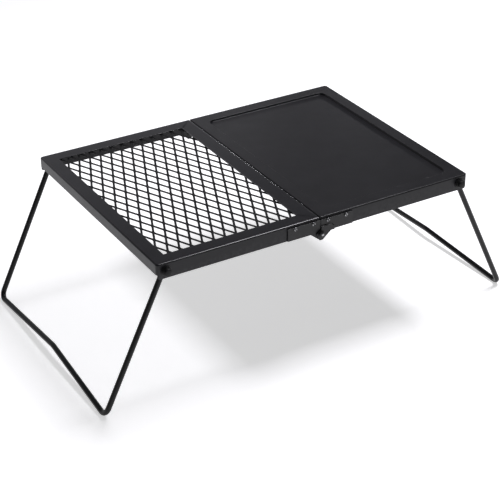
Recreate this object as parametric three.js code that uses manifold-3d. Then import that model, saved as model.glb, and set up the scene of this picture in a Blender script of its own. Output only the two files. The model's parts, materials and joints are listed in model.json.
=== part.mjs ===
// Folding camp grill: two open-bottomed steel frames hinged in the middle, one filled with expanded
// mesh and one with a pressed griddle plate, standing on two fold-flat U legs of round rod.
// Units are millimetres. +X runs along the table from the mesh half to the griddle half, -Y is the
// front, +Z is up, and the origin is on the ground under the middle of the table.
import * as THREE from "three";
import Module from "manifold-3d";
import { mergeVertices } from "three/addons/utils/BufferGeometryUtils.js";

// ---- Driving dimensions ---------------------------------------------------------------------
const tableLength = 600;
const tableDepth = 442;
const seamGap = 1.2; // between the two halves
const gap = 0.3; // between pieces that touch on the real object
const overcut = 1; // how far a cutter reaches past what it cuts

const sheet = 1.6; // thickness of the bent angle and of the griddle plate
const bendRadius = 2.4; // outside radius of the bent edges
const flangeWidth = 26; // top flange of the outer rails
const seamFlangeWidth = 29.2; // top flange of the rails beside the seam
const griddleFlangeWidth = 19; // flanges hidden under the griddle plate
const longRailHeight = 27; // front and back rails, and the rails beside the seam
const endRailHeight = 19;
const cornerChamfer = 5.5; // lower outer corner of the front and back rails

const meshShortPitch = 20.1; // along X
const meshLongPitch = 43.2; // along Y
const meshColumnLean = -0.03; // the mesh is racked a little: X gained per unit of Y
const meshRowLean = -0.048; // and Y gained per unit of X
const meshStrand = 4;
const meshThickness = 2.2;
const meshOrigin = { x: -156.9, y: 3.4 }; // one of the bonds
const meshUnderFlange = 8; // how far the mesh reaches under each flange
const meshBorder = 5; // solid edge of the mesh, hidden under the flanges

const recessDepth = 3.6;
const recessRim = 24; // flat rim round the pressed recess
const recessCornerRadius = 14;
const recessSlope = 3.5; // how far the recess wall leans in

const rodRadius = 4.75;
const legSideY = 213.5; // centreline of each leg's side rods
const legLength = 265; // pivot axis to the foot corner, along the leg
const legSplay = THREE.MathUtils.degToRad(25.6);
const legPivotInset = 16.2; // pivot axis to the end of the table
const legPivotDrop = 13.6; // pivot axis below the top
const footKink = 14.7; // the floor bar's middle rises this much towards the pivot
const pivotBendRadius = 7;
const footBendRadius = 14;
const kinkBendRadius = 30;
const rodBendStep = THREE.MathUtils.degToRad(22); // between the facets of a bend
const pivotHoleRadius = 5.6;

const washerThickness = 1.5;
const washerRadius = 9;
const capRadius = 6.5;
const capLength = 8;
const capWall = 2;
const capSkirt = 1; // how much wider the cap's rim is than its body
const capSkirtHeight = 1.6;
const capSkirtTaper = 0.4; // height of the cone between skirt and body
const capDome = { height: 2.5, shoulderHeight: 0.8, shoulderInset: 1, flatInset: 3 };

const leafThickness = 2;
const leafLength = 63;
const leafTopDrop = 4;
const hingeDrop = 28.5; // hinge pin axis below the top
const tabHalfWidth = 19;
const tabTipHalfWidth = 3;
const tabTipDrop = 40;
const tabShoulder = 10.5; // the V tab's reach beyond the seam, at the height of the pin
const earReach = 26; // the ear's foot on the strap
const earFootHeight = 7;
const earTopDrop = 15.5;
const earNeckDrop = 20.5; // where the ear starts to cross the seam
const earSide = 9; // how far it crosses
const earOverlap = 0.5; // how far the ear's tip hangs below the V tab
const tabClearance = 0.5; // room round the V tab as it turns behind the ear
const pinRadius = 2.5;
const pinHoleRadius = 2.8;
const pinHeadRadius = 5;
const pinHeadHeight = 3;
const pinInnerHead = { radius: 4.4, height: 1.6 };
const pinWasherRadius = 5.6;
const pinNotchRadius = 5.2; // clearance cut in the rails round the pin's inner head
const rivetRadius = 2;
const rivetHoleRadius = 2.3;
const rivetHeadRadius = 3.4;
const rivetHeadHeight = 1.8;
const rivetInnerHeight = 0.9;
const rivetDrop = 7.5;
const rivetPlaces = [14, 49]; // from the seam
const innerHeadTaper = 0.8; // share of an inner head's radius that its flat end keeps
// A head's dome as [share of its radius, share of its height].
const domeProfile = [
  [1, 0],
  [0.92, 0.4],
  [0.65, 0.8],
  [0, 1],
];

// ---- Derived dimensions ---------------------------------------------------------------------
const halfLength = tableLength / 2;
const halfDepth = tableDepth / 2;
const seamX = seamGap / 2;
const frameLength = halfLength - seamX;
const legPivotX = halfLength - legPivotInset;
// The foot corner's centreline is rounded, so the lowest point of the leg lies a little above it.
const footCornerDrop = legPivotDrop + legLength * Math.cos(legSplay);
const footTilt = Math.atan2(footKink, legSideY);
const footBendRise = footBendRadius * (Math.tan(footTilt) + 1 / Math.cos(footTilt) - 1);
const tableHeight = footCornerDrop + rodRadius - footBendRise * Math.cos(legSplay);
// The open leg rests on the free edge of a lip under the end rail.
const lipDrop = endRailHeight - legPivotDrop;
const lipEdgeX = legPivotX + (rodRadius + gap + lipDrop * Math.sin(legSplay)) / Math.cos(legSplay);
const lipWidth = halfLength - lipEdgeX;
// The hinge pin's outer head bears on a washer that lies on the ear.
const earFace = halfDepth + 2 * (leafThickness + gap);
const capFrom = halfDepth + washerThickness + 2 * gap;
const rodEnd = capFrom + capLength - capWall - gap;

const sides = { front: -1, back: 1 };
const black = new THREE.Color(0x2b2b2e);

// ---- Solids ---------------------------------------------------------------------------------
const wasm = await Module();
wasm.setup();

// A closed three.js geometry as a solid that can be joined and cut.
function toSolid(geometry) {
  const bare = geometry.clone();
  bare.deleteAttribute("normal");
  bare.deleteAttribute("uv");
  const merged = mergeVertices(bare, 1e-3);
  const triVerts = new Uint32Array(merged.index.array);
  const vertProperties = merged.attributes.position.array;
  return new wasm.Manifold(new wasm.Mesh({ numProp: 3, vertProperties, triVerts }));
}

function toGeometry(solid) {
  const mesh = solid.getMesh();
  const indexed = new THREE.BufferGeometry();
  indexed.setAttribute("position", new THREE.BufferAttribute(mesh.vertProperties, 3));
  indexed.setIndex(new THREE.BufferAttribute(mesh.triVerts, 1));
  const flat = indexed.toNonIndexed();
  flat.computeVertexNormals();
  return flat;
}

function join(solids) {
  return solids.reduce((whole, next) => whole.add(next));
}

function outline(points) {
  return new THREE.Shape(points.map(([x, y]) => new THREE.Vector2(x, y)));
}

// A plan outline raised from one height to another.
function slab(shape, low, high) {
  const geometry = new THREE.ExtrudeGeometry(shape, { depth: high - low, bevelEnabled: false });
  return geometry.translate(0, 0, low);
}

// A section drawn in Y and Z, run along X.
function alongX(shape, from, to, curveSegments = 4) {
  const geometry = new THREE.ExtrudeGeometry(shape, {
    depth: to - from,
    bevelEnabled: false,
    curveSegments,
  });
  const x = new THREE.Vector3(1, 0, 0);
  const y = new THREE.Vector3(0, 1, 0);
  const z = new THREE.Vector3(0, 0, 1);
  geometry.applyMatrix4(new THREE.Matrix4().makeBasis(y, z, x));
  return geometry.translate(from, 0, 0);
}

// A shape drawn in X and Z, run along Y.
function alongY(shape, from, to) {
  const geometry = new THREE.ExtrudeGeometry(shape, {
    depth: to - from,
    bevelEnabled: false,
    curveSegments: 6,
  });
  return geometry.rotateX(Math.PI / 2).translate(0, to, 0);
}

// A bore or clearance cutter along Y, through the whole depth of the table unless a length is given.
function cutterAlongY(x, z, radius, segments = 20, length = tableDepth + 20 * overcut, y = 0) {
  const geometry = new THREE.CylinderGeometry(radius, radius, length, segments);
  return toSolid(geometry.translate(x, y, z));
}

// A turned piece about Y from its half section, given as [radius, distance along the axis].
function turned(points, segments = 16) {
  const profile = points.map(([radius, along]) => new THREE.Vector2(radius, along));
  return new THREE.LatheGeometry(profile, segments);
}

// Turns an outward-facing turned piece to the front (-1) or the back (+1), at x and z.
function placeOutward(geometry, side, x, z) {
  const placed = geometry.clone();
  if (side < 0) placed.rotateX(Math.PI);
  return placed.translate(x, 0, z);
}

function piece(name, geometry) {
  const material = new THREE.MeshStandardMaterial({ color: black, roughness: 0.55, metalness: 0.3 });
  const mesh = new THREE.Mesh(geometry, material);
  mesh.name = name;
  return mesh;
}

// ---- Rails ----------------------------------------------------------------------------------
// Section of a bent angle: Y is the distance in from the outer face, Z is up with the top at 0.
function railSection(flange, height, lip) {
  const section = new THREE.Shape();
  const inner = bendRadius - sheet;
  section.moveTo(0, -height);
  section.lineTo(0, -bendRadius);
  section.absarc(bendRadius, -bendRadius, bendRadius, Math.PI, Math.PI / 2, true);
  section.lineTo(flange, 0);
  section.lineTo(flange, -sheet);
  section.lineTo(bendRadius, -sheet);
  section.absarc(bendRadius, -bendRadius, inner, Math.PI / 2, Math.PI, false);
  if (lip) {
    section.lineTo(sheet, sheet - height);
    section.lineTo(lip, sheet - height);
    section.lineTo(lip, -height);
  } else {
    section.lineTo(sheet, -height);
  }
  section.closePath();
  return section;
}

// A rail with mitred ends. It runs along its own X from 0, with its outer face at Y 0.
function mitredRail({ length, flange, height, lip = 0, mitre, top }) {
  const bar = toSolid(alongX(railSection(flange, height, lip), -overcut, length + overcut, 3));
  const start = gap / 2;
  const plan = outline([
    [start - overcut, -overcut],
    [length - start + overcut, -overcut],
    [length - start - mitre, mitre],
    [length - start - mitre, flange + overcut],
    [start + mitre, flange + overcut],
    [start + mitre, mitre],
  ]);
  const kept = toSolid(slab(plan, -height - overcut, overcut));
  return bar.intersect(kept).translate([0, 0, top]);
}

// The four rails of one half. xLow is the half's lowest x, and outerSide is -1 or +1 for the side
// that its leg is on. Each rail is built on its own X axis and turned into place.
function frameRails(half, { xLow, outerSide, flange, seamFlange, top }) {
  const quarter = 90;
  const xHigh = xLow + frameLength;
  const long = { length: frameLength, flange, height: longRailHeight + top, mitre: flange, top };
  const end = { length: tableDepth, flange, height: endRailHeight + top, lip: lipWidth, mitre: flange, top };
  const seam = {
    length: tableDepth,
    flange: seamFlange,
    height: longRailHeight + top,
    mitre: flange,
    top,
  };
  const [low, high] = outerSide < 0 ? [end, seam] : [seam, end];
  const railHoles = join([
    cutterAlongY(outerSide * legPivotX, -legPivotDrop, pivotHoleRadius),
    ...pinNotches(),
    ...rivetPlaces.map((place) => cutterAlongY(outerSide * place, -rivetDrop, rivetHoleRadius, 12)),
    toSolid(cornerCutter(outerSide)),
  ]);
  const front = mitredRail(long).translate([xLow, -halfDepth, 0]);
  const back = mitredRail(long).rotate([0, 0, 2 * quarter]).translate([xHigh, halfDepth, 0]);
  const lowEnd = mitredRail(low).rotate([0, 0, -quarter]).translate([xLow, halfDepth, 0]);
  const highEnd = mitredRail(high).rotate([0, 0, quarter]).translate([xHigh, -halfDepth, 0]);
  const [outer, inner] = outerSide < 0 ? [lowEnd, highEnd] : [highEnd, lowEnd];
  return [
    piece(`${half}_front_rail`, toGeometry(front.subtract(railHoles))),
    piece(`${half}_back_rail`, toGeometry(back.subtract(railHoles))),
    piece(`${half}_end_rail`, toGeometry(outer)),
    piece(`${half}_seam_rail`, toGeometry(inner.subtract(railHoles))),
  ];
}

// Room for the hinge pins' inner heads at the lower corners beside the seam.
function pinNotches() {
  const reach = sheet + overcut;
  return Object.values(sides).map((side) =>
    cutterAlongY(0, -hingeDrop, pinNotchRadius, 20, 2 * reach, side * halfDepth),
  );
}

// Takes the lower outer corner off the front and back rails.
function cornerCutter(outerSide) {
  const x = outerSide * halfLength;
  const z = -longRailHeight;
  const corner = [
    [x - outerSide * cornerChamfer, z - overcut],
    [x + outerSide * overcut, z - overcut],
    [x + outerSide * overcut, z + cornerChamfer],
  ];
  const shape = outline(outerSide > 0 ? corner : corner.reverse());
  return alongY(shape, -halfDepth - overcut, halfDepth + overcut);
}

// ---- Cooking surfaces -----------------------------------------------------------------------
// Expanded metal: a sheet cut into diamonds, long way across the table. Even rows of diamonds stand
// in line with the bond at the origin, and the others half a pitch off.
function expandedMesh() {
  const top = -sheet - gap;
  const low = [-halfLength + flangeWidth - meshUnderFlange, -halfDepth + flangeWidth - meshUnderFlange];
  const high = [-seamX - seamFlangeWidth + meshUnderFlange, halfDepth - flangeWidth + meshUnderFlange];
  const sheetOutline = outline([low, [high[0], low[1]], high, [low[0], high[1]]]);
  const open = outline([
    [low[0] + meshBorder, low[1] + meshBorder],
    [high[0] - meshBorder, low[1] + meshBorder],
    [high[0] - meshBorder, high[1] - meshBorder],
    [low[0] + meshBorder, high[1] - meshBorder],
  ]);
  const diamonds = [];
  const rowPitch = meshLongPitch / 2;
  const toEdge =
    (meshShortPitch * meshLongPitch) / 4 / Math.hypot(meshShortPitch / 2, meshLongPitch / 2);
  const shrink = 1 - meshStrand / 2 / toEdge;
  const halfShort = (meshShortPitch / 2) * shrink;
  const halfLong = (meshLongPitch / 2) * shrink;
  const rows = Math.ceil(halfDepth / rowPitch);
  const columns = Math.ceil(frameLength / 2 / meshShortPitch);
  const racked = (x, y) => [
    meshOrigin.x + x + meshColumnLean * y,
    meshOrigin.y + y + meshRowLean * x,
  ];
  for (let row = -rows; row <= rows; row++) {
    for (let column = -columns; column <= columns; column++) {
      const x = (column + (row % 2 === 0 ? 0.5 : 0)) * meshShortPitch;
      const y = row * rowPitch;
      diamonds.push(
        outline([
          racked(x - halfShort, y),
          racked(x, y - halfLong),
          racked(x + halfShort, y),
          racked(x, y + halfLong),
        ]),
      );
    }
  }
  const holes = toSolid(slab(diamonds, top - meshThickness - overcut, top + overcut));
  const window = toSolid(slab(open, top - meshThickness - 2 * overcut, top + 2 * overcut));
  const plate = toSolid(slab(sheetOutline, top - meshThickness, top));
  return toGeometry(plate.subtract(holes.intersect(window)));
}

function roundedRectangle(xLow, xHigh, yLow, yHigh, radius) {
  const shape = new THREE.Shape();
  shape.moveTo(xLow + radius, yLow);
  shape.lineTo(xHigh - radius, yLow);
  shape.absarc(xHigh - radius, yLow + radius, radius, -Math.PI / 2, 0, false);
  shape.lineTo(xHigh, yHigh - radius);
  shape.absarc(xHigh - radius, yHigh - radius, radius, 0, Math.PI / 2, false);
  shape.lineTo(xLow + radius, yHigh);
  shape.absarc(xLow + radius, yHigh - radius, radius, Math.PI / 2, Math.PI, false);
  shape.lineTo(xLow, yLow + radius);
  shape.absarc(xLow + radius, yLow + radius, radius, Math.PI, 1.5 * Math.PI, false);
  shape.closePath();
  return shape;
}

// The room inside a pressed tray: full size at the high level, and leaning in to the low level.
function trayRoom(grow, low, high) {
  const xLow = seamX + recessRim - grow;
  const xHigh = halfLength - recessRim + grow;
  const y = halfDepth - recessRim + grow;
  const shape = roundedRectangle(xLow, xHigh, -y, y, recessCornerRadius + grow);
  const geometry = new THREE.ExtrudeGeometry(shape, {
    depth: high - low,
    bevelEnabled: false,
    curveSegments: 5,
  });
  const middleX = (xLow + xHigh) / 2;
  const position = geometry.attributes.position;
  const squeezeX = 1 - recessSlope / (xHigh - middleX);
  const squeezeY = 1 - recessSlope / y;
  for (let i = 0; i < position.count; i++) {
    if (position.getZ(i) > 0) continue;
    position.setX(i, middleX + (position.getX(i) - middleX) * squeezeX);
    position.setY(i, position.getY(i) * squeezeY);
  }
  return toSolid(geometry.translate(0, 0, low));
}

// Griddle plate: a flat rim over the frame, with one shallow recess pressed down inside it.
function griddlePlate() {
  const rim = toSolid(
    slab(roundedRectangle(seamX, halfLength, -halfDepth, halfDepth, sheet), -sheet, 0),
  );
  const pressed = rim.add(trayRoom(sheet, -recessDepth - sheet, -sheet / 2));
  return toGeometry(pressed.subtract(trayRoom(0, -recessDepth, sheet / 2)));
}

// ---- Middle hinge ---------------------------------------------------------------------------
// One sheet layer of a hinge leaf, drawn in X and Z. Layer 0 lies on the rail, layer 1 on layer 0.
function leafLayer(shape, side, layer, thickness = leafThickness) {
  const near = halfDepth + gap + layer * (leafThickness + gap);
  const far = near + thickness;
  const solid = side < 0 ? alongY(shape, -far, -near) : alongY(shape, near, far);
  return toSolid(solid);
}

function leafHoles(xSide) {
  return join([
    cutterAlongY(0, -hingeDrop, pinHoleRadius, 16),
    ...rivetPlaces.map((place) => cutterAlongY(xSide * place, -rivetDrop, rivetHoleRadius, 12)),
  ]);
}

// Flat leaf on the mesh half, with the V tab that carries the pin.
function meshLeaf(side) {
  const shape = outline([
    [-leafLength, -longRailHeight],
    [-tabHalfWidth, -longRailHeight],
    [-tabTipHalfWidth, -tabTipDrop],
    [tabTipHalfWidth, -tabTipDrop],
    [tabShoulder, -hingeDrop],
    [-gap, -hingeDrop],
    [-gap, -leafTopDrop],
    [-leafLength, -leafTopDrop],
  ]);
  return toGeometry(leafLayer(shape, side, 0).subtract(leafHoles(-1)));
}

// Joggled leaf on the griddle half: a strap on the rail, and an ear that lies over the V tab.
function griddleLeaf(side) {
  const strap = outline([
    [gap, -longRailHeight],
    [leafLength, -longRailHeight],
    [leafLength, -leafTopDrop],
    [gap, -leafTopDrop],
  ]);
  const ear = outline([
    [gap, -earTopDrop],
    [gap, -earNeckDrop],
    [-earSide, -hingeDrop + earOverlap],
    [-tabTipHalfWidth, -tabTipDrop - earOverlap],
    [tabTipHalfWidth, -tabTipDrop - earOverlap],
    [tabHalfWidth, -longRailHeight],
    [earReach, -longRailHeight],
    [earReach, -longRailHeight + earFootHeight],
    [tabHalfWidth, -earTopDrop],
  ]);
  const foot = outline([
    [gap, -longRailHeight],
    [earReach, -longRailHeight],
    [earReach, -longRailHeight + earFootHeight],
    [tabHalfWidth, -earTopDrop],
    [gap, -earTopDrop],
  ]);
  const tabReach = Math.hypot(tabTipHalfWidth, tabTipDrop - hingeDrop);
  const clearance = cutterAlongY(0, -hingeDrop, tabReach + tabClearance, 40);
  const flat = leafLayer(strap, side, 0).subtract(clearance);
  const joggle = leafLayer(foot, side, 0, 2 * leafThickness + gap).subtract(clearance);
  const raised = leafLayer(ear, side, 1);
  return toGeometry(join([flat, joggle, raised]).subtract(leafHoles(1)));
}

// A domed rivet along Y: inner head at the low end, shank, and a domed outer head.
function rivet({ shank, head, innerHead, from, innerThickness, to, dome }) {
  return turned(
    [
      [0, from - innerThickness],
      [innerHead * innerHeadTaper, from - innerThickness],
      [innerHead, from - innerThickness / 2],
      [innerHead, from],
      [shank, from],
      [shank, to],
      ...domeProfile.map(([radius, height]) => [head * radius, to + dome * height]),
    ],
    12,
  );
}

function leafRivet(side, x) {
  const geometry = rivet({
    shank: rivetRadius,
    head: rivetHeadRadius,
    innerHead: rivetHeadRadius,
    from: halfDepth - sheet - gap,
    innerThickness: rivetInnerHeight,
    to: halfDepth + leafThickness + 2 * gap,
    dome: rivetHeadHeight,
  });
  return placeOutward(geometry, side, x, -rivetDrop);
}

function hingePin(side) {
  const geometry = rivet({
    shank: pinRadius,
    head: pinHeadRadius,
    innerHead: pinInnerHead.radius,
    from: halfDepth,
    innerThickness: pinInnerHead.height,
    to: earFace + washerThickness + 2 * gap,
    dome: pinHeadHeight,
  });
  return placeOutward(geometry, side, 0, -hingeDrop);
}

// ---- Washers, caps and legs -----------------------------------------------------------------
function washer(inner, outer, from, thickness) {
  return turned(
    [
      [inner, from],
      [outer, from],
      [outer, from + thickness],
      [inner, from + thickness],
      [inner, from],
    ],
    20,
  );
}

// Push-on cap: a cup with a domed end over the rod's stub.
function endCap() {
  const bore = rodRadius + gap;
  const end = capFrom + capLength;
  return turned([
    [bore, capFrom],
    [capRadius + capSkirt, capFrom],
    [capRadius + capSkirt, capFrom + capSkirtHeight],
    [capRadius, capFrom + capSkirtHeight + capSkirtTaper],
    [capRadius, end - capDome.height],
    [capRadius - capDome.shoulderInset, end - capDome.shoulderHeight],
    [capRadius - capDome.flatInset, end],
    [0, end],
    [0, end - capWall],
    [bore, end - capWall],
    [bore, capFrom],
  ]);
}

// Bend stations along a flat rod: each corner of the outline is replaced by an arc, and every
// station holds its place and its direction.
class BentRod extends THREE.Curve {
  constructor(corners, bendStep) {
    super();
    this.stations = [];
    const point = (i) => corners[i].at;
    const direction = (i) => point(i + 1).clone().sub(point(i)).normalize();
    this.add(point(0), direction(0));
    for (let i = 1; i < corners.length - 1; i++) {
      const before = direction(i - 1);
      const after = direction(i);
      const turn = before.angleTo(after);
      const radius = corners[i].bend;
      const start = point(i).clone().addScaledVector(before, -radius * Math.tan(turn / 2));
      const normal = after.clone().addScaledVector(before, -after.dot(before)).normalize();
      const steps = Math.max(2, Math.round(turn / bendStep));
      for (let k = 0; k <= steps; k++) {
        const angle = (turn * k) / steps;
        const at = start
          .clone()
          .addScaledVector(before, radius * Math.sin(angle))
          .addScaledVector(normal, radius * (1 - Math.cos(angle)));
        const heading = before
          .clone()
          .multiplyScalar(Math.cos(angle))
          .addScaledVector(normal, Math.sin(angle));
        this.add(at, heading);
      }
    }
    this.add(point(corners.length - 1), direction(corners.length - 2));
  }

  add(at, heading) {
    this.stations.push({ at: at.clone(), heading: heading.clone().normalize() });
  }

  get steps() {
    return this.stations.length - 1;
  }

  getPointAt(u) {
    return this.stations[Math.round(u * this.steps)].at.clone();
  }

  getTangentAt(u) {
    return this.stations[Math.round(u * this.steps)].heading.clone();
  }
}

// One leg hanging straight down from its pivot axis, which runs along Y through the origin.
function legRod() {
  const corner = (y, z, bend) => ({ at: new THREE.Vector3(0, y, z), bend });
  const path = new BentRod(
    [
      corner(-rodEnd, 0, 0),
      corner(-legSideY, 0, pivotBendRadius),
      corner(-legSideY, -legLength, footBendRadius),
      corner(0, -legLength + footKink, kinkBendRadius),
      corner(legSideY, -legLength, footBendRadius),
      corner(legSideY, 0, pivotBendRadius),
      corner(rodEnd, 0, 0),
    ],
    rodBendStep,
  );
  const section = new THREE.Shape();
  section.absarc(0, 0, rodRadius, 0, 2 * Math.PI, false);
  return new THREE.ExtrudeGeometry(section, {
    extrudePath: path,
    steps: path.steps,
    curveSegments: 6,
    bevelEnabled: false,
  });
}

// The leg and everything that turns with it, hung on its pivot and swung out to its stop.
function leg(name, outerSide) {
  const group = new THREE.Group();
  group.position.set(outerSide * legPivotX, 0, -legPivotDrop);
  group.rotation.y = -outerSide * legSplay;
  group.add(piece(`${name}_rod`, legRod()));
  const pivotWasher = washer(rodRadius + gap, washerRadius, halfDepth + gap, washerThickness);
  for (const [where, side] of Object.entries(sides)) {
    group.add(
      piece(`${name}_${where}_washer`, placeOutward(pivotWasher, side, 0, 0)),
      piece(`${name}_${where}_cap`, placeOutward(endCap(), side, 0, 0)),
    );
  }
  return group;
}

// ---- Assembly -------------------------------------------------------------------------------
const table = new THREE.Group();
table.position.z = tableHeight;

table.add(
  ...frameRails("mesh_half", {
    xLow: -halfLength,
    outerSide: -1,
    flange: flangeWidth,
    seamFlange: seamFlangeWidth,
    top: 0,
  }),
  piece("expanded_mesh", expandedMesh()),
  ...frameRails("griddle_half", {
    xLow: seamX,
    outerSide: 1,
    flange: griddleFlangeWidth,
    seamFlange: griddleFlangeWidth,
    top: -sheet - gap,
  }),
  piece("griddle_plate", griddlePlate()),
);

for (const [where, side] of Object.entries(sides)) {
  const pinWasher = washer(pinHoleRadius, pinWasherRadius, earFace + gap, washerThickness);
  table.add(
    piece(`${where}_mesh_hinge_leaf`, meshLeaf(side)),
    piece(`${where}_griddle_hinge_leaf`, griddleLeaf(side)),
    piece(`${where}_hinge_pin`, hingePin(side)),
    piece(`${where}_hinge_pin_washer`, placeOutward(pinWasher, side, 0, -hingeDrop)),
  );
  rivetPlaces.forEach((place, i) => {
    table.add(
      piece(`${where}_mesh_leaf_rivet_${i + 1}`, leafRivet(side, -place)),
      piece(`${where}_griddle_leaf_rivet_${i + 1}`, leafRivet(side, place)),
    );
  });
}

table.add(leg("left_leg", -1), leg("right_leg", 1));

const campGrill = new THREE.Group();
campGrill.add(table);

export default campGrill;
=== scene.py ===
"""Folding camp grill in a pale studio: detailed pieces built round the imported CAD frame.

Metres, in the part's own frame: +X runs from the mesh half to the griddle half, -Y is the front.
"""
import json
import math

import bmesh
import bpy
from mathutils import Matrix, Vector


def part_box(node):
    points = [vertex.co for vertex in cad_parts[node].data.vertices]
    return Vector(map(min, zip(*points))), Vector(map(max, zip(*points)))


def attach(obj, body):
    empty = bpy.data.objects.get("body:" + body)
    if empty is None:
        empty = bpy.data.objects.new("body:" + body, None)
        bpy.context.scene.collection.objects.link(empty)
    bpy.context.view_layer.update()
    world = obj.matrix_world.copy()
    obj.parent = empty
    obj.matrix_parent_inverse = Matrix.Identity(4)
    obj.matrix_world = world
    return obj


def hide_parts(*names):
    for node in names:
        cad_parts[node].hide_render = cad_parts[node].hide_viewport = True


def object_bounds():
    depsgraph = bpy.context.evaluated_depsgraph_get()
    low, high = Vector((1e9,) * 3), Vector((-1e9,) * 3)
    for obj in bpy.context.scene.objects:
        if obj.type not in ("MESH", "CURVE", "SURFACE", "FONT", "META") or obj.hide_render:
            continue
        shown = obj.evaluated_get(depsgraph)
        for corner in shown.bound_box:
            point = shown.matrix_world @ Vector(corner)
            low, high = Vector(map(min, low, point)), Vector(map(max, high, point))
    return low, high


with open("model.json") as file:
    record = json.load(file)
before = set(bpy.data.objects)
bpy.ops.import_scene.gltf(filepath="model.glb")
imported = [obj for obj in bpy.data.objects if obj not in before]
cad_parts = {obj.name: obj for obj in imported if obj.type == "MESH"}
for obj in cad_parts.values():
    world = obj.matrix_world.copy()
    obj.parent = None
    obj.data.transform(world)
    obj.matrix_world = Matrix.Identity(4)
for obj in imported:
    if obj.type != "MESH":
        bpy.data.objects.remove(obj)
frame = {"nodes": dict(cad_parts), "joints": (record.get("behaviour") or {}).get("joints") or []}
cad_box = [list(corner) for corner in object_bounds()]

MM = 0.001
SHEET = 1.6 * MM  # thickness of the bent angle and of the griddle plate
EDGE = 0.35 * MM  # softening of every sheared sheet edge
SAME_POINT = 0.001 * MM  # points closer together than this are one point
SIDES = {"front": -1, "back": 1}
TOP = cad_box[1][2]


# ---- Objects ----------------------------------------------------------------------------------
def add_object(name, data):
    """A new object in the scene."""
    obj = bpy.data.objects.new(name, data)
    bpy.context.scene.collection.objects.link(obj)
    return obj


def add_mesh_object(name, bm):
    """A new object in the scene from a bmesh, which is freed."""
    mesh = bpy.data.meshes.new(name)
    bm.to_mesh(mesh)
    bm.free()
    return add_object(name, mesh)


# ---- Camera -----------------------------------------------------------------------------------
CAMERA_TARGET = Vector((-0.1521, -0.2537, TOP))
CAMERA_AZIMUTH = math.radians(-30.52)
CAMERA_ELEVATION = math.radians(29.85)
CAMERA_ROLL = math.radians(-0.395)
CAMERA_DISTANCE = 2.3472
CAMERA_SENSOR = 36  # mm
CAMERA_LENS = 108.09  # mm


def add_camera():
    """A camera that looks at the target from its azimuth, elevation and distance."""
    data = bpy.data.cameras.new("camera")
    data.sensor_width = CAMERA_SENSOR
    data.lens = CAMERA_LENS
    camera = add_object("camera", data)
    level = math.cos(CAMERA_ELEVATION)
    sideways = math.sin(CAMERA_AZIMUTH) * level
    forward = -math.cos(CAMERA_AZIMUTH) * level
    back = Vector((sideways, forward, math.sin(CAMERA_ELEVATION)))
    turn = back.to_track_quat("Z", "Y").to_matrix() @ Matrix.Rotation(CAMERA_ROLL, 3, "Z")
    place = Matrix.Translation(CAMERA_TARGET + back * CAMERA_DISTANCE)
    camera.matrix_world = place @ turn.to_4x4()
    bpy.context.scene.camera = camera


add_camera()


# ---- Pieces and shapes ------------------------------------------------------------------------
SHARP_ANGLE = math.radians(38)  # a bend sharper than this shades as an edge


def new_piece(name, bm, body, material, replaces):
    """A piece from a bmesh, riding on a body and standing for CAD nodes."""
    bmesh.ops.recalc_face_normals(bm, faces=bm.faces)
    obj = add_mesh_object(name, bm)
    obj.data.materials.append(material)
    finish_shading(obj)
    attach(obj, body)
    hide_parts(*replaces)
    return obj


def finish_shading(obj):
    """Round surfaces shade smooth, and flat ones stay flat."""
    obj.data.shade_smooth()
    obj.data.set_sharp_from_angle(angle=SHARP_ANGLE)
    weighted = obj.modifiers.new("weighted_normals", "WEIGHTED_NORMAL")
    weighted.keep_sharp = True
    weighted.weight = 100


def skin(bm, rings, caps=True):
    """Quads between rings of equal length. Each ring is a closed loop of points."""
    made = [[bm.verts.new(point) for point in ring] for ring in rings]
    for low, high in zip(made, made[1:]):
        count = len(low)
        for i in range(count):
            j = (i + 1) % count
            bm.faces.new((low[i], low[j], high[j], high[i]))
    if caps:
        bm.faces.new(list(reversed(made[0])))
        bm.faces.new(made[-1])
    return made


def arc(centre, radius, start, end, steps):
    """Points on an arc, in degrees, both ends included."""
    points = []
    for i in range(steps + 1):
        angle = math.radians(start + (end - start) * i / steps)
        x = centre[0] + radius * math.cos(angle)
        y = centre[1] + radius * math.sin(angle)
        points.append((x, y))
    return points


def turned(bm, profile, place, segments):
    """A closed turned solid from (radius, distance) points. A point on the axis closes an end."""
    rings = []
    for radius, along in profile:
        if radius <= 0:
            rings.append([bm.verts.new(place(0, 0, along))])
            continue
        ring = []
        for i in range(segments):
            angle = 2 * math.pi * i / segments
            point = place(radius * math.cos(angle), radius * math.sin(angle), along)
            ring.append(bm.verts.new(point))
        rings.append(ring)
    loops = list(zip(rings, rings[1:]))
    if profile[0][0] > 0:
        # nothing on the axis: the last ring joins the first, round a bore
        loops.append((rings[-1], rings[0]))
    for low, high in loops:
        for i in range(segments):
            j = (i + 1) % segments
            corners = [low[i % len(low)], low[j % len(low)], high[j % len(high)], high[i % len(high)]]
            unique = list(dict.fromkeys(corners))
            if len(unique) > 2:
                bm.faces.new(unique)


def outward(side, x, z):
    """Places a turned piece on the front or back: its distances run outward along Y."""

    def place(across, up, out):
        return Vector((x + across, side * out, z + up))

    return place


# ---- Materials --------------------------------------------------------------------------------
# the paint's noises: scale, detail, roughness
MOTTLE = (14, 5, 0.5)
DUST = (1400, 2, 0.5)
PATCHES = (160, 4, 0.65)  # where the edges are rubbed; on the rivets these edges carry a painted glint
DRIFT = (38, 6, 0.6)  # of the roughness
WAVES = (22, 1, 0.5)  # of the sheet
PEEL_DETAIL = (3, 0.6)  # its scale is the paint's grain

# where each ramp starts and ends
MOTTLE_STOPS = (0.3, 0.72)
DUST_STOPS = (0.66, 0.78)
EDGE_STOPS = (0.52, 0.60)  # pointiness: 0.5 is flat
PATCH_STOPS = (0.42, 0.62)

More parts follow.
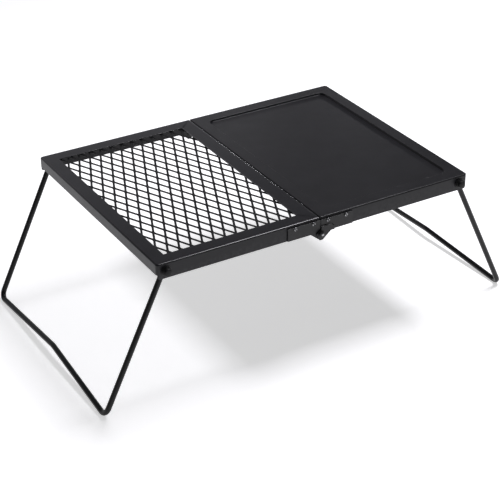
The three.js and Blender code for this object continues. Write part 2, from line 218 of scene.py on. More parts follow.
DUST_BRIGHTNESS = 2.2  # against the coat's light tone
DUST_SHARE = 0.35
ROUGHNESS_DRIFT = (-0.06, 0.07)
PEEL_HEIGHT = 0.4 * MM
WAVE_HEIGHT = 4 * MM
BLACK = (0, 0, 0)
WHITE = (1, 1, 1)


def paint(
    name,
    dark,
    light,
    roughness,
    grain=900,
    bump=0.05,
    wear_and_glint=0.25,
    wear_and_glint_color=(0.06, 0.06, 0.063),
    specular=0.34,
    metallic=0.0,
    waviness=0.05,
):
    """Baked-on satin paint, or with a high metallic value a bright metal for painted highlights.

    Mottled colour with specks of dust, edges rubbed in patches (a painted glint on the rivets), a
    roughness that drifts, and orange peel over a faint waviness of the sheet.
    """
    material = bpy.data.materials.new(name)
    material.use_nodes = True
    nodes = material.node_tree.nodes
    links = material.node_tree.links
    shader = nodes["Principled BSDF"]
    shader.inputs["Specular IOR Level"].default_value = specular
    shader.inputs["Metallic"].default_value = metallic
    where = nodes.new("ShaderNodeTexCoord")

    def noise(scale, detail, rough):
        node = nodes.new("ShaderNodeTexNoise")
        node.inputs["Scale"].default_value = scale
        node.inputs["Detail"].default_value = detail
        node.inputs["Roughness"].default_value = rough
        links.new(where.outputs["Object"], node.inputs["Vector"])
        return node.outputs["Fac"]

    def ramp(source, stops, low, high):
        """A gradient from the low colour at the first stop to the high one at the last."""
        node = nodes.new("ShaderNodeValToRGB")
        links.new(source, node.inputs["Fac"])
        first, last = node.color_ramp.elements[0], node.color_ramp.elements[1]
        first.position, last.position = stops
        first.color, last.color = (*low, 1), (*high, 1)
        return node.outputs["Color"]

    def product(source, factor):
        """A socket times a number or another socket."""
        node = nodes.new("ShaderNodeMath")
        node.operation = "MULTIPLY"
        links.new(source, node.inputs[0])
        if isinstance(factor, bpy.types.NodeSocket):
            links.new(factor, node.inputs[1])
        else:
            node.inputs[1].default_value = factor
        return node.outputs[0]

    def coat(under, over, share):
        """A plain colour over another, as far as the share says."""
        node = nodes.new("ShaderNodeMixRGB")
        node.inputs["Color2"].default_value = (*over, 1)
        links.new(share, node.inputs["Fac"])
        links.new(under, node.inputs["Color1"])
        return node.outputs["Color"]

    def relief(height, strength, distance):
        node = nodes.new("ShaderNodeBump")
        node.inputs["Strength"].default_value = strength
        node.inputs["Distance"].default_value = distance
        links.new(height, node.inputs["Height"])
        return node

    mottle = ramp(noise(*MOTTLE), MOTTLE_STOPS, dark, light)
    specks = ramp(noise(*DUST), DUST_STOPS, BLACK, WHITE)
    dust_color = [channel * DUST_BRIGHTNESS for channel in light]
    dusted = coat(mottle, dust_color, product(specks, DUST_SHARE))

    # rubbed edges in patches; where their colour is bright, as on the rivets, they are a painted
    # glint
    shape = nodes.new("ShaderNodeNewGeometry")
    edges = ramp(shape.outputs["Pointiness"], EDGE_STOPS, BLACK, WHITE)
    patches = ramp(noise(*PATCHES), PATCH_STOPS, BLACK, WHITE)
    worn_and_glint = product(product(edges, patches), wear_and_glint)
    links.new(coat(dusted, wear_and_glint_color, worn_and_glint), shader.inputs["Base Color"])

    sheen = nodes.new("ShaderNodeMapRange")
    sheen.inputs["To Min"].default_value = roughness + ROUGHNESS_DRIFT[0]
    sheen.inputs["To Max"].default_value = roughness + ROUGHNESS_DRIFT[1]
    links.new(noise(*DRIFT), sheen.inputs["Value"])
    links.new(sheen.outputs["Result"], shader.inputs["Roughness"])

    peel = relief(noise(grain, *PEEL_DETAIL), bump, PEEL_HEIGHT)
    wave = relief(noise(*WAVES), waviness, WAVE_HEIGHT)
    links.new(wave.outputs["Normal"], peel.inputs["Normal"])
    links.new(peel.outputs["Normal"], shader.inputs["Normal"])
    return material


FRAME_PAINT = paint(
    "frame_paint", (0.0050, 0.0048, 0.0068), (0.0076, 0.0074, 0.0098), 0.34, specular=0.30
)
# the outside of the upper bends: a lighter, glossier copy of the frame paint, a painted highlight
# along the bends
BEND_HIGHLIGHT_PAINT = paint(
    "frame_bend_highlight_paint",
    (0.0062, 0.0060, 0.0080),
    (0.0100, 0.0098, 0.0122),
    0.24,
    bump=0.02,
    wear_and_glint=0.05,
    specular=0.45,
    waviness=0.02,
)
MESH_PAINT = paint(
    "mesh_paint", (0.0020, 0.0020, 0.0024), (0.0040, 0.0040, 0.0046), 0.5, wear_and_glint=0.05, specular=0.2
)
GRIDDLE_PAINT = paint(
    "griddle_paint",
    (0.0046, 0.0044, 0.0060),
    (0.0070, 0.0068, 0.0088),
    0.36,
    grain=1100,
    wear_and_glint=0.02,
)
LEG_PAINT = paint(
    "leg_paint",
    (0.0025, 0.0025, 0.0028),
    (0.0050, 0.0050, 0.0054),
    0.30,
    grain=1200,
    specular=0.27,
)
# bright metal as painted highlights: the light line on the bend beside the seam, and the glints on
# the fasteners' crests
HIGHLIGHT_STEEL = paint(
    "highlight_steel",
    (0.24, 0.24, 0.25),
    (0.46, 0.46, 0.47),
    0.15,
    bump=0.01,
    wear_and_glint=0.05,
    metallic=0.9,
    waviness=0.005,
)
HINGE_PAINT = paint(
    "hinge_paint", (0.0050, 0.0050, 0.0058), (0.0080, 0.0080, 0.0090), 0.34, wear_and_glint=0.12
)
# rivet heads: worn rims in a bright grey, which also stand in as a painted glint
FASTENER_PAINT = paint(
    "fastener_paint",
    (0.006, 0.006, 0.0066),
    (0.014, 0.014, 0.0152),
    0.24,
    wear_and_glint=0.9,
    wear_and_glint_color=(0.30, 0.30, 0.31),
    specular=0.9,
)
PIN_PAINT = paint("pin_paint", (0.004, 0.004, 0.0044), (0.008, 0.008, 0.0086), 0.4, wear_and_glint=0.1)
CAP_PAINT = paint("cap_paint", (0.002, 0.002, 0.0022), (0.004, 0.004, 0.0044), 0.5, specular=0.25)


# ---- Frame rails ------------------------------------------------------------------------------
BEND = 2.4 * MM  # outside radius of the bent angle
COVERED_BEND = 1.0 * MM  # and of the rails under the griddle plate
CORNER = 5 * MM  # plan radius of the table's outer corners
SEAM_CORNER = 0.9 * MM  # plan radius of the corners beside the seam
CORNER_STEPS = 5
RUN_STEPS = 4  # stations along the stretch where the lower corner still rounds
LOWER_CORNER = 7 * MM  # rounding of the front and back rails' lower outer corners
LIP = 8 * MM  # turned-in lower edge of the end rails, where the open leg rests
HIGHLIGHT_TILT = (0.3, 0.998)  # upward share of the normal of a face that gets the painted highlight
PIVOT_HOLE = 5.6 * MM  # radius of the holes for the legs' pivots
DRILL_DEPTH = 12 * MM  # reaches through one web and not the other
LEG_PIVOT = {}
for joint in frame["joints"]:
    if joint["child"].endswith("_leg"):
        LEG_PIVOT[joint["child"]] = Vector(joint["pos_m"])
    else:
        HINGE_AXIS = Vector(joint["pos_m"])


def angle_section(flange, height, lip=0.0, bend=BEND):
    """Section of a bent angle as (inward, z) points, with the top face at z = 0."""
    inner = max(bend - SHEET, EDGE)
    points = arc((EDGE, -height + EDGE), EDGE, 270, 180, 3)
    points += arc((bend, -bend), bend, 180, 90, 8)
    points += arc((flange - EDGE, -EDGE), EDGE, 90, 0, 3)
    points += arc((flange - EDGE, -SHEET + EDGE), EDGE, 0, -90, 3)
    points += arc((SHEET + inner, -SHEET - inner), inner, 90, 180, 4)
    if lip:
        points += arc((SHEET + inner, -height + SHEET + inner), inner, 180, 270, 4)
        points += arc((lip - EDGE, -height + SHEET - EDGE), EDGE, 90, 0, 3)
        points += arc((lip - EDGE, -height + EDGE), EDGE, 0, -90, 3)
    else:
        points += arc((SHEET - EDGE, -height + EDGE), EDGE, 0, -90, 3)
    return points


def rail_mesh(section, length, start, end, top, place):
    """A rail run from mitre to mitre.

    start and end are dicts: flange is how far the mitre cuts in, radius is the plan radius of the
    corner, and round_low rounds the web's lower corner there.
    """
    bm = bmesh.new()
    low = min(z for _, z in section)
    # the round lower corner ends a little further in than the round outer corner does
    further = LOWER_CORNER - CORNER
    extra = [CORNER + further * step / RUN_STEPS for step in range(1, RUN_STEPS + 1)]
    stations = []
    for step in range(CORNER_STEPS + 1):
        stations.append(("start", 225 + 45 * step / CORNER_STEPS))
    stations += [("run", x) for x in extra]
    stations += [("run", length - x) for x in reversed(extra)]
    for step in range(CORNER_STEPS + 1):
        stations.append(("end", 270 + 45 * step / CORNER_STEPS))

    def at(kind, value, u):
        """Where a section point u inward from the outer face lies along the rail and across it."""
        if kind == "run":
            x = max(value, min(u, start["flange"]))
            return min(x, length - min(u, end["flange"])), u
        corner = start if kind == "start" else end
        radius = corner["radius"]
        if u >= radius:
            x = min(u, corner["flange"])
            return (x, u) if kind == "start" else (length - x, u)
        angle = math.radians(value)
        x = radius if kind == "start" else length - radius
        return x + (radius - u) * math.cos(angle), radius + (radius - u) * math.sin(angle)

    def lifted(x, z):
        """Raises the web's lower edge into a round corner."""
        for corner, distance in ((start, x), (end, length - x)):
            if corner["round_low"] and distance < LOWER_CORNER and z < low + 2 * EDGE:
                run = LOWER_CORNER - distance
                z += LOWER_CORNER - math.sqrt(max(LOWER_CORNER**2 - run**2, 0))
        return z

    rings = []
    for kind, value in stations:
        ring = []
        for u, z in section:
            x, inward = at(kind, value, u)
            ring.append(place(x, inward, top + lifted(x, z)))
        rings.append(ring)
    skin(bm, rings)
    bmesh.ops.remove_doubles(bm, verts=bm.verts, dist=SAME_POINT)
    return bm


def drill(obj, centre, radius):
    """Cuts a round hole along Y through one wall."""
    bm = bmesh.new()
    turn = Matrix.Rotation(math.pi / 2, 4, "X")
    bmesh.ops.create_cone(
        bm,
        cap_ends=True,
        segments=32,
        radius1=radius,
        radius2=radius,
        depth=DRILL_DEPTH,
        matrix=Matrix.Translation(centre) @ turn,
    )
    cutter = add_mesh_object("drill", bm)
    shading = list(obj.modifiers)
    for modifier in shading:
        modifier.show_viewport = False
    cut = obj.modifiers.new("hole", "BOOLEAN")
    cut.operation = "DIFFERENCE"
    cut.solver = "EXACT"
    cut.object = cutter
    bpy.context.view_layer.update()
    evaluated = obj.evaluated_get(bpy.context.evaluated_depsgraph_get())
    obj.data = bpy.data.meshes.new_from_object(evaluated)
    obj.modifiers.remove(cut)
    for modifier in shading:
        modifier.show_viewport = True
    bpy.data.objects.remove(cutter)


def paint_bend_highlight(obj, highlight_material):
    """Gives the faces round the upper outer bend a lighter material, a painted highlight."""
    obj.data.materials.append(highlight_material)
    for face in obj.data.polygons:
        if HIGHLIGHT_TILT[0] < face.normal.z < HIGHLIGHT_TILT[1]:
            face.material_index = 1


def half_extent(half):
    """The rectangle of one half's frame: x low, x high, y low, y high."""
    boxes = [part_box(f"{half}_{which}_rail") for which in ("front", "back", "end", "seam")]
    low = [min(b[0][axis] for b in boxes) for axis in (0, 1)]
    high = [max(b[1][axis] for b in boxes) for axis in (0, 1)]
    return low[0], high[0], low[1], high[1]


def build_frame(half, leg):
    """The four rails of one half. The griddle half's lie under its plate."""
    x_low, x_high, y_low, y_high = half_extent(half)
    is_mesh = half == "mesh_half"
    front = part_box(f"{half}_front_rail")
    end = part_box(f"{half}_end_rail")
    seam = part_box(f"{half}_seam_rail")
    top = front[1].z if is_mesh else TOP - SHEET
    flange = front[1].y - front[0].y
    end_flange = end[1].x - end[0].x
    seam_flange = seam[1].x - seam[0].x
    bottom = front[0].z
    length = x_high - x_low
    depth = y_high - y_low
    outer_end = {"flange": end_flange, "radius": CORNER, "round_low": True}
    inner_end = {"flange": flange, "radius": SEAM_CORNER, "round_low": False}
    end_corner = {"flange": flange, "radius": CORNER, "round_low": False}
    bend = BEND if is_mesh else COVERED_BEND
    long_section = angle_section(flange, top - bottom, bend=bend)
    end_section = angle_section(end_flange, top - end[0].z, LIP, bend)
    seam_section = angle_section(seam_flange, top - bottom, bend=bend)
    first, last = (outer_end, inner_end) if is_mesh else (inner_end, outer_end)

    rails = {
        "front": (long_section, length, first, last, lambda x, u, z: (x_low + x, y_low + u, z)),
        "back": (long_section, length, last, first, lambda x, u, z: (x_high - x, y_high - u, z)),
    }

    def left(x, u, z):
        return x_low + u, y_high - x, z

    def right(x, u, z):
        return x_high - u, y_low + x, z

    outer_side, seam_side = (left, right) if is_mesh else (right, left)
    rails["end"] = (end_section, depth, end_corner, end_corner, outer_side)
    rails["seam"] = (seam_section, depth, inner_end, inner_end, seam_side)
    for which, (section, run, start, stop, place) in rails.items():
        node = f"{half}_{which}_rail"
        piece = new_piece(
            f"{half}_{which}_rail_welded",
            rail_mesh(section, run, start, stop, top, place),
            half,
            FRAME_PAINT,
            [node],
        )
        if which in SIDES:
            pivot = LEG_PIVOT[leg]
            drill(piece, Vector((pivot.x, SIDES[which] * y_high, pivot.z)), PIVOT_HOLE)
        # the upper bends get a painted highlight, and the mesh half's seam bend gets a brighter one
        # in bright metal
        paint_bend_highlight(piece, HIGHLIGHT_STEEL if node == "mesh_half_seam_rail" else BEND_HIGHLIGHT_PAINT)


build_frame("mesh_half", "left_leg")
build_frame("griddle_half", "right_leg")


# ---- Expanded mesh ----------------------------------------------------------------------------
STRAND_WIDTH = 4.1 * MM
STRAND_THICK = 1.2 * MM
STRAND_SOFT = 0.3 * MM  # bevel of a strand's corners
STRAND_LEAN = math.radians(4)  # what is left of the louvre lean after flattening
BOND_SPREAD = 0.8 * MM  # a strand's centreline at a bond, off the bond's own middle
SHORT_PITCH = 20.1 * MM
LONG_PITCH = 43.2 * MM
COLUMN_LEAN = -0.03  # the mesh is racked a little in its frame, along Y
ROW_LEAN = -0.048  # and along X
BOND_LENGTH = 3 * MM
MESH_ORIGIN = Vector((-0.1569, 0.0034, 0))  # one of the bonds
SIDE_COLUMNS = 9  # columns to each side of the origin, enough to reach past the sheet
SPARE_ROWS = 3  # rows past each end of the sheet
MESH_MARGIN = 1.5 * MM  # the strands end this far inside the sheet's CAD box
SHORTEST_STRAND = 2 * MM


def expanded_mesh():
    """Expanded steel: leaning strands of one slit sheet, joined in pairs at the bonds."""
    low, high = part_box("expanded_mesh")
    height = (low.z + high.z) / 2
    row_step = LONG_PITCH / 2
    rows = int(high.y / row_step) + SPARE_ROWS
    bm = bmesh.new()
    across = Vector((math.cos(STRAND_LEAN), 0, math.sin(STRAND_LEAN)))
    for column in range(-SIDE_COLUMNS, SIDE_COLUMNS + 1):
        for hand in (-1, 1):
            run = []
            for row in range(-rows, rows + 1):
                # a strand meets its neighbour on one side in the even rows, and on the other
                # side in the odd rows
                even = row % 2 == 0
                x = (column + (0 if even else hand / 2)) * SHORT_PITCH
                y = row * row_step
                offset = hand * BOND_SPREAD if even else -hand * BOND_SPREAD
                for end in (-BOND_LENGTH / 2, BOND_LENGTH / 2):
                    at = MESH_ORIGIN + Vector((x + COLUMN_LEAN * y, y + ROW_LEAN * x + end, height))
                    run.append(at + Vector((offset, 0, 0)))
            for part in inside_runs(run, low, high):
                add_strand(bm, part, across)
    return bm


def inside_runs(run, low, high):
    """The parts of a strand inside the sheet, cut clean at its edges."""
    x_low, x_high = low.x + MESH_MARGIN, high.x - MESH_MARGIN
    y_low, y_high = low.y + MESH_MARGIN, high.y - MESH_MARGIN

    def inside(point):
        return x_low <= point.x <= x_high and y_low <= point.y <= y_high

    def cut(within, beyond):
        """Where the line from a point within the sheet to one beyond it leaves the sheet."""
        share = 1.0
        for axis, least, most in ((0, x_low, x_high), (1, y_low, y_high)):
            step = beyond[axis] - within[axis]
            if step > 0:
                share = min(share, (most - within[axis]) / step)
            elif step < 0:
                share = min(share, (least - within[axis]) / step)
        return within + (beyond - within) * share

    parts, current = [], []
    for before, after in zip(run, run[1:]):
        if inside(before):
            if not current:
                current = [before]
            if inside(after):
                current.append(after)
            else:
                current.append(cut(before, after))
                parts.append(current)
                current = []
        elif inside(after):
            current = [cut(after, before), after]
    if current:
        parts.append(current)
    return [part for part in parts if (part[-1] - part[0]).length > SHORTEST_STRAND]


def add_strand(bm, run, across):
    """One strand of rectangular section with soft corners."""
    wide, high = STRAND_WIDTH / 2, STRAND_THICK / 2
    flat_wide, flat_high = wide - STRAND_SOFT, high - STRAND_SOFT
    section = [
        (wide, flat_high),
        (flat_wide, high),
        (-flat_wide, high),
        (-wide, flat_high),
        (-wide, -flat_high),
        (-flat_wide, -high),
        (flat_wide, -high),
        (wide, -flat_high),
    ]
    upright = Vector((-across.z, 0, across.x))
    skin(bm, [[point + across * a + upright * b for a, b in section] for point in run])


new_piece(
    "expanded_mesh_strands",
    expanded_mesh(),
    "mesh_half",
    MESH_PAINT,
    ["expanded_mesh"],
)


# ---- Griddle plate ----------------------------------------------------------------------------
RECESS_RIM = 24 * MM  # width of the flat rim round the recess
RECESS_DEPTH = 3.6 * MM
RECESS_CORNER = 14 * MM
RECESS_WALL = 1.5 * MM  # how far inward the wall slopes
WALL_RADIUS = 0.8 * MM  # shoulder and foot of the pressed wall
ROLLED_EDGE = 1.5 * MM  # radius of the plate's rolled edge
WALL_STEPS = 6
FLOOR_RINGS = (45 * MM, 80 * MM, 115 * MM)  # insets of the floor's inner rings
FLOOR_RING_CORNER = 10 * MM
SMALLEST_CORNER = 0.2 * MM


def rounded_ring(low, high, inset, z, radii, steps=10):
    """A rounded rectangle inset from a box's plan. radii: beside the seam, and at the far end."""
    near, far = (max(radius, SMALLEST_CORNER) for radius in radii)
    x_low, x_high = low.x + inset, high.x - inset
    y_low, y_high = low.y + inset, high.y - inset
    points = arc((x_high - far, y_low + far), far, -90, 0, steps)
    points += arc((x_high - far, y_high - far), far, 0, 90, steps)
    points += arc((x_low + near, y_high - near), near, 90, 180, steps)
    points += arc((x_low + near, y_low + near), near, 180, 270, steps)
    return [Vector((x, y, z)) for x, y in points]


def pressed_wall():
    """The recess wall as (inset, z below the top): round shoulder, slope, round foot."""
    slope = math.atan2(RECESS_DEPTH, RECESS_WALL)
    tangent = WALL_RADIUS * math.tan(slope / 2)
    wall = []
    for step in range(WALL_STEPS + 1):
        angle = slope * step / WALL_STEPS
        inset = RECESS_RIM - tangent + WALL_RADIUS * math.sin(angle)
        wall.append((inset, -WALL_RADIUS * (1 - math.cos(angle))))
    for step in range(WALL_STEPS, -1, -1):
        angle = slope * step / WALL_STEPS
        inset = RECESS_RIM + RECESS_WALL + tangent - WALL_RADIUS * math.sin(angle)
        wall.append((inset, -RECESS_DEPTH + WALL_RADIUS * (1 - math.cos(angle))))
    return wall


def plate_rings():
    """The pressed plate's rings, over the top and then back underneath, and how many are on top.

    It has a rolled outer edge, a flat rim, and a shallow recess with soft walls.
    """
    low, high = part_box("griddle_plate")
    wall = pressed_wall()
    outer = (SEAM_CORNER, CORNER)
    top = []  # inset from the plate's edge, z below the top, plan radii of the corners
    for degrees in range(0, 91, 15):
        angle = math.radians(degrees)
        inset = ROLLED_EDGE * (1 - math.cos(angle))
        radii = [radius - inset for radius in outer]
        top.append((inset, -ROLLED_EDGE * (1 - math.sin(angle)), radii))
    top.append((RECESS_RIM / 2, 0, outer))
    for inset, z in wall:
        radius = RECESS_CORNER - (inset - RECESS_RIM)
        top.append((inset, z, (radius, radius)))
    for inset in FLOOR_RINGS:
        top.append((inset, -RECESS_DEPTH, (FLOOR_RING_CORNER, FLOOR_RING_CORNER)))

    under = []
    for inset in reversed(FLOOR_RINGS):
        under.append((inset, -RECESS_DEPTH - SHEET, (FLOOR_RING_CORNER, FLOOR_RING_CORNER)))
    for inset, z in reversed(wall):
        radius = RECESS_CORNER - (inset - RECESS_RIM)
        under.append((inset - SHEET / 2, z - SHEET, (radius, radius)))
    under.append((RECESS_RIM / 2, -SHEET, outer))
    under.append((EDGE, -SHEET, outer))
    rings = [rounded_ring(low, high, inset, TOP + z, radii) for inset, z, radii in top + under]
    return rings, len(top)


def griddle_mesh():
    """Skins the plate's rings, and closes it in the middle and round its edge."""
    rings, upper = plate_rings()
    bm = bmesh.new()
    over = skin(bm, rings[:upper], caps=False)
    below = skin(bm, rings[upper:], caps=False)
    bm.faces.new(over[-1])
    bm.faces.new(list(reversed(below[0])))
    outer, last = over[0], below[-1]
    for i in range(len(outer)):
        j = (i + 1) % len(outer)
        bm.faces.new((last[i], last[j], outer[j], outer[i]))
    return bm


new_piece(
    "griddle_plate_pressed",
    griddle_mesh(),
    "griddle_half",
    GRIDDLE_PAINT,
    ["griddle_plate"],
)


# ---- Legs -------------------------------------------------------------------------------------
ROD_RADIUS = 4.7 * MM  # just under the CAD's, to stay inside its box
LEG_SIDE = 213.5 * MM  # from the middle of the table to each side of a leg
LEG_LENGTH = 265 * MM  # from the pivot to the corners of the floor bar
LEG_SPLAY = math.radians(25.6)
FOOT_KINK = 14.7 * MM  # how far the middle of the floor bar is kinked up the leg
PIVOT_BEND = 7 * MM  # bend radii of the rod's centreline
FOOT_BEND = 14 * MM
KINK_BEND = 30 * MM
BEND_STEP = 7  # degrees
ROD_SEGMENTS = 28
ROD_BORE = ROD_RADIUS + 0.3 * MM  # of the washers and caps on the rod's ends
TURNED_EDGE = 0.3 * MM  # bevel of washers, caps and pin heads

CAP_BODY = 6.5 * MM  # radius of the drawn body
CAP_SKIRT = CAP_BODY + 1 * MM  # and of the turned-out skirt
CAP_SKIRT_HEIGHT = 1.6 * MM
CAP_SHOULDER = 2.2 * MM  # radius of the round shoulder
CAP_CROWN = 0.4 * MM  # height of the crown above the shoulder
CAP_WALL = 2 * MM  # thickness of the closed end


def bent_path(corners):
    """Stations (point, heading) along straight runs, with an arc of its radius at each corner."""
    points = [Vector(corner[0]) for corner in corners]
    stations = [(points[0], (points[1] - points[0]).normalized())]
    for i in range(1, len(points) - 1):
        before = (points[i] - points[i - 1]).normalized()
        after = (points[i + 1] - points[i]).normalized()
        turn = before.angle(after)
        radius = corners[i][1]
        begin = points[i] - before * radius * math.tan(turn / 2)
        normal = (after - before * after.dot(before)).normalized()
        steps = max(3, round(math.degrees(turn) / BEND_STEP))
        for step in range(steps + 1):
            angle = turn * step / steps
            along, across = math.sin(angle), 1 - math.cos(angle)
            at = begin + before * radius * along + normal * radius * across
            stations.append((at, before * math.cos(angle) + normal * math.sin(angle)))
    stations.append((points[-1], (points[-1] - points[-2]).normalized()))
    return stations


def leg_rod(leg):
    """A round rod bent to a U, with both ends turned out as pivots."""
    low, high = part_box(f"{leg}_rod")
    pivot = LEG_PIVOT[leg]
    outer = -1 if pivot.x < 0 else 1
    down = Vector((outer * math.sin(LEG_SPLAY), 0, -math.cos(LEG_SPLAY)))
    flat = Vector((down.z, 0, -down.x))

    def at(y, along):
        """A point of the rod's centreline, along the leg from its pivot."""
        return pivot + Vector((0, y, 0)) + down * along

    corners = [
        (at(low.y, 0), 0),
        (at(-LEG_SIDE, 0), PIVOT_BEND),
        (at(-LEG_SIDE, LEG_LENGTH), FOOT_BEND),
        (at(0, LEG_LENGTH - FOOT_KINK), KINK_BEND),
        (at(LEG_SIDE, LEG_LENGTH), FOOT_BEND),
        (at(LEG_SIDE, 0), PIVOT_BEND),
        (at(high.y, 0), 0),
    ]
    rings = []
    for point, heading in bent_path(corners):
        side = heading.cross(flat).normalized()
        ring = []
        for i in range(ROD_SEGMENTS):
            angle = 2 * math.pi * i / ROD_SEGMENTS
            ring.append(point + (flat * math.cos(angle) + side * math.sin(angle)) * ROD_RADIUS)
        rings.append(ring)
    bm = bmesh.new()
    skin(bm, rings)
    return bm


def flat_washer(node_name, where, bore):
    """A flat ring the size of its CAD node, with softened outer edges."""
    low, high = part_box(node_name)
    radius = (high.x - low.x) / 2
    near, far = sorted((abs(low.y), abs(high.y)))
    profile = [
        (bore, near),
        (radius - TURNED_EDGE, near),
        (radius, near + TURNED_EDGE),
        (radius, far - TURNED_EDGE),
        (radius - TURNED_EDGE, far),
        (bore, far),
    ]
    bm = bmesh.new()
    place = outward(SIDES[where], (low.x + high.x) / 2, (low.z + high.z) / 2)
    turned(bm, profile, place, segments=40)
    return bm


def end_cap(leg, where):
    """A pressed push-on cap: turned-out skirt, drawn body and a shallow dome."""
    low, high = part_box(f"{leg}_{where}_cap")
    near, far = sorted((abs(low.y), abs(high.y)))
    skirt_top = near + CAP_SKIRT_HEIGHT
    shoulder = far - CAP_CROWN - CAP_SHOULDER
    profile = [
        (0, far - CAP_WALL),
        (ROD_BORE, far - CAP_WALL),
        (ROD_BORE, near),
        (CAP_SKIRT - TURNED_EDGE, near),
        (CAP_SKIRT, near + TURNED_EDGE),
        (CAP_SKIRT, skirt_top - TURNED_EDGE),
        (CAP_SKIRT - TURNED_EDGE, skirt_top),
        (CAP_BODY, skirt_top + TURNED_EDGE),
        (CAP_BODY, shoulder),
    ]
    for degrees in range(15, 91, 15):
        angle = math.radians(degrees)
        inward, up = 1 - math.cos(angle), math.sin(angle)
        profile.append((CAP_BODY - CAP_SHOULDER * inward, shoulder + CAP_SHOULDER * up))
    profile += [(CAP_SHOULDER, far - CAP_CROWN / 4), (0, far)]
    bm = bmesh.new()
    place = outward(SIDES[where], LEG_PIVOT[leg].x, LEG_PIVOT[leg].z)
    turned(bm, profile, place, segments=40)
    return bm


for leg in LEG_PIVOT:
    new_piece(f"{leg}_bent_rod", leg_rod(leg), leg, LEG_PAINT, [f"{leg}_rod"])
    for where in SIDES:
        new_piece(
            f"{leg}_{where}_pivot_washer",
            flat_washer(f"{leg}_{where}_washer", where, ROD_BORE),
            leg,
            PIN_PAINT,
            [f"{leg}_{where}_washer"],
        )
        new_piece(
            f"{leg}_{where}_push_cap",
            end_cap(leg, where),
            leg,
            CAP_PAINT,
            [f"{leg}_{where}_cap"],
        )


# ---- Middle hinge -----------------------------------------------------------------------------
SHEARED_EDGE = math.radians(25)  # edges of a leaf sharper than this are softened
FLAT_ENOUGH = math.radians(1)  # flat faces of the CAD's triangles are merged up to this angle
BEVEL_SLIVER = 0.06 * MM

RIVET_HEAD = 1.8 * MM  # height of the domed head over its seat
RIVET_INNER_HEAD = 0.9 * MM
RIVET_SHANK = 2 * MM
RIVET_EDGE = 0.2 * MM
# the heads' outlines from the rim to the middle: share of the head's radius, mm over its seat
RIVET_DOME = ((0.94, 0.85), (0.78, 1.45), (0.58, 1.8), (0.42, 1.6), (0.3, 1.0), (0, 0.85))

PIN_HEAD = 3 * MM
PIN_INNER_HEAD = 1.6 * MM
PIN_SHANK = 2.5 * MM
PIN_BORE = 2.8 * MM  # of the washer on the pin
PIN_BUTTON = ((0.9, 1.4), (0.7, 1.75), (0.5, 1.9))
PIN_UPSET_END = ((0.46, 2.5), (0.34, 2.85), (0.16, 3.0), (0, 3.0))

RIVET_GLINT_DEPTH = 0.4 * MM  # how far below its crest a rivet gets the bright metal of a painted glint
# how far below its crest a pin gets the bright metal of a painted glint
PIN_GLINT_DEPTH = 0.6 * MM


def softened(node_name):
    """A copy of a CAD node's shape with every sheared edge softened."""
    node = frame["nodes"][node_name]
    bm = bmesh.new()
    bm.from_mesh(node.data)
    bm.transform(node.matrix_world)
    bmesh.ops.remove_doubles(bm, verts=bm.verts, dist=SAME_POINT)
    bmesh.ops.dissolve_limit(bm, angle_limit=FLAT_ENOUGH, verts=bm.verts, edges=bm.edges)
    sharp = [edge for edge in bm.edges if edge.is_manifold and edge.calc_face_angle() > SHEARED_EDGE]
    bmesh.ops.bevel(bm, geom=sharp, offset=EDGE, segments=2, affect="EDGES", clamp_overlap=True)
    # the bevel leaves slivers where three softened edges meet
    bmesh.ops.remove_doubles(bm, verts=bm.verts, dist=BEVEL_SLIVER)
    bmesh.ops.dissolve_degenerate(bm, edges=bm.edges, dist=0.01 * MM)
    return bm


def head_outline(head, seat, outline):
    """Points of a turned head from its outline in shares of the radius and mm over the seat."""
    return [(head * share, seat + height * MM) for share, height in outline]


def rivet_head(node_name, where):
    """Semi-tubular rivet: a domed head with a dimple, a shank, and a flat inner head."""
    low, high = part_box(node_name)
    centre_x, centre_z = (low.x + high.x) / 2, (low.z + high.z) / 2
    head = (high.x - low.x) / 2
    inner, outer = sorted((abs(low.y), abs(high.y)))
    seat = outer - RIVET_HEAD
    inner_seat = inner + RIVET_INNER_HEAD
    profile = [
        (0, inner),
        (head * 0.8, inner),
        (head, inner + RIVET_EDGE * 2),
        (head, inner_seat),
        (RIVET_SHANK, inner_seat),
        (RIVET_SHANK, seat),
        (head - RIVET_EDGE, seat),
        (head, seat + RIVET_EDGE),
    ]
    profile += head_outline(head, seat, RIVET_DOME)
    bm = bmesh.new()
    turned(bm, profile, outward(SIDES[where], centre_x, centre_z), segments=32)
    return bm


def pin(node_name, where):
    """Hinge pin: a button head with an upset end on it, a shank, and a smaller inner head."""
    low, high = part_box(node_name)
    head = (high.x - low.x) / 2
    inner_head = head * 0.88
    inner, outer = sorted((abs(low.y), abs(high.y)))
    seat = outer - PIN_HEAD
    inner_seat = inner + PIN_INNER_HEAD
    profile = [
        (0, inner),
        (head * 0.7, inner),
        (inner_head, inner + 0.7 * MM),
        (inner_head, inner_seat),
        (PIN_SHANK, inner_seat),
        (PIN_SHANK, seat),
        (head - TURNED_EDGE, seat),
        (head, seat + TURNED_EDGE),
        (head, seat + TURNED_EDGE * 3),
    ]
    profile += head_outline(head, seat, PIN_BUTTON + PIN_UPSET_END)
    bm = bmesh.new()
    turned(bm, profile, outward(SIDES[where], HINGE_AXIS.x, HINGE_AXIS.z), segments=36)
    return bm


def paint_crest_glint(obj, height):
    """Painted glint: bright metal on the outermost faces of a head, down to a height below its crest.
    """
    obj.data.materials.append(HIGHLIGHT_STEEL)
    crest = max(abs(vertex.co.y) for vertex in obj.data.vertices)
    for face in obj.data.polygons:
        if abs(face.center.y) > crest - height:
            face.material_index = 1


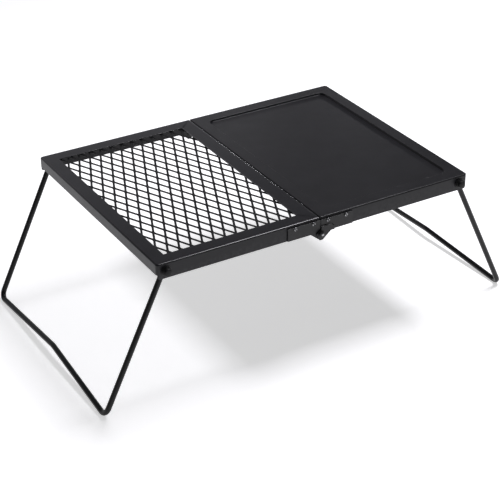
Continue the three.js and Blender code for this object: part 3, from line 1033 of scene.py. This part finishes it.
for where in SIDES:
    for half, body in (("mesh", "mesh_half"), ("griddle", "griddle_half")):
        node = f"{where}_{half}_hinge_leaf"
        shape = softened(node)
        new_piece(f"{node}_stamped", shape, body, HINGE_PAINT, [node])
        for number in (1, 2):
            node = f"{where}_{half}_leaf_rivet_{number}"
            shape = rivet_head(node, where)
            head = new_piece(f"{node}_domed", shape, body, FASTENER_PAINT, [node])
            # a painted glint on the head's crest
            paint_crest_glint(head, RIVET_GLINT_DEPTH)
    node = f"{where}_hinge_pin"
    shape = pin(node, where)
    head = new_piece(f"{node}_button", shape, "mesh_half", PIN_PAINT, [node])
    # a painted glint on the head's crest
    paint_crest_glint(head, PIN_GLINT_DEPTH)
    node = f"{where}_hinge_pin_washer"
    shape = flat_washer(node, where, PIN_BORE)
    new_piece(f"{node}_round", shape, "mesh_half", PIN_PAINT, [node])


# ---- Studio -----------------------------------------------------------------------------------
FLOOR_REACH = 60.0  # from the middle to each edge, so that the horizon stays far off
FLOOR_CELLS = 24
FLOOR_GLOW = 0.55  # lifts the floor towards the white of a cut-out
FLOOR_TONES = (0.90, 0.93)
FLOOR_MOTTLE = 3.0
LIGHT_COLOR = (0.96, 0.95, 1.0)
WORLD_COLOR = (0.95, 0.96, 1.0)
WORLD_STRENGTH = 0.10
TABLE_HEIGHT = 0.25  # where the lights aim


def floor_material():
    """A matt, nearly even pale floor that glows a little."""
    material = bpy.data.materials.new("floor_matt")
    material.use_nodes = True
    nodes = material.node_tree.nodes
    links = material.node_tree.links
    shader = nodes["Principled BSDF"]
    shader.inputs["Roughness"].default_value = 0.9
    shader.inputs["Specular IOR Level"].default_value = 0.1
    shader.inputs["Emission Color"].default_value = (1, 1, 1, 1)
    shader.inputs["Emission Strength"].default_value = FLOOR_GLOW
    noise = nodes.new("ShaderNodeTexNoise")
    noise.inputs["Scale"].default_value = FLOOR_MOTTLE
    ramp = nodes.new("ShaderNodeValToRGB")
    for element, tone in zip(ramp.color_ramp.elements, FLOOR_TONES):
        element.color = (tone, tone, tone, 1)
    links.new(noise.outputs["Fac"], ramp.inputs["Fac"])
    links.new(ramp.outputs["Color"], shader.inputs["Base Color"])
    return material


def add_floor():
    """A wide plain floor at z = 0."""
    bm = bmesh.new()
    bmesh.ops.create_grid(bm, x_segments=FLOOR_CELLS, y_segments=FLOOR_CELLS, size=FLOOR_REACH)
    floor = add_mesh_object("floor", bm)
    floor.data.materials.append(floor_material())


def add_world():
    """A faint even light from all round."""
    world = bpy.data.worlds.new("studio")
    world.use_nodes = True
    background = world.node_tree.nodes["Background"]
    background.inputs["Color"].default_value = (*WORLD_COLOR, 1)
    background.inputs["Strength"].default_value = WORLD_STRENGTH
    bpy.context.scene.world = world


def add_light(name, size, power, position, aim):
    """A rectangular area light. size is its width and height, and power is in watts."""
    data = bpy.data.lights.new(name, "AREA")
    data.color = LIGHT_COLOR
    data.shape = "RECTANGLE"
    data.size, data.size_y = size
    data.energy = power
    light = add_object(name, data)
    light.location = position
    light.rotation_euler = (Vector(aim) - Vector(position)).to_track_quat("-Z", "Y").to_euler()


add_floor()
add_world()
add_light("overhead", (1.0, 0.6), 52, (1.05, 0.05, 2.4), (0, 0, TABLE_HEIGHT))
# a low card behind the table
add_light("back_card", (2.1, 0.7), 2.55, (-0.1, 1.3, 0.70), (0.1, 0, TABLE_HEIGHT))
# a narrow strip, for the light line on the bend beside the seam, which has the bright metal of a
# painted highlight
add_light("seam_strip", (0.30, 0.08), 0.9, (1.62, 1.98, 0.62), (0, 0.02, TABLE_HEIGHT))
bpy.context.scene.view_settings.view_transform = "Standard"
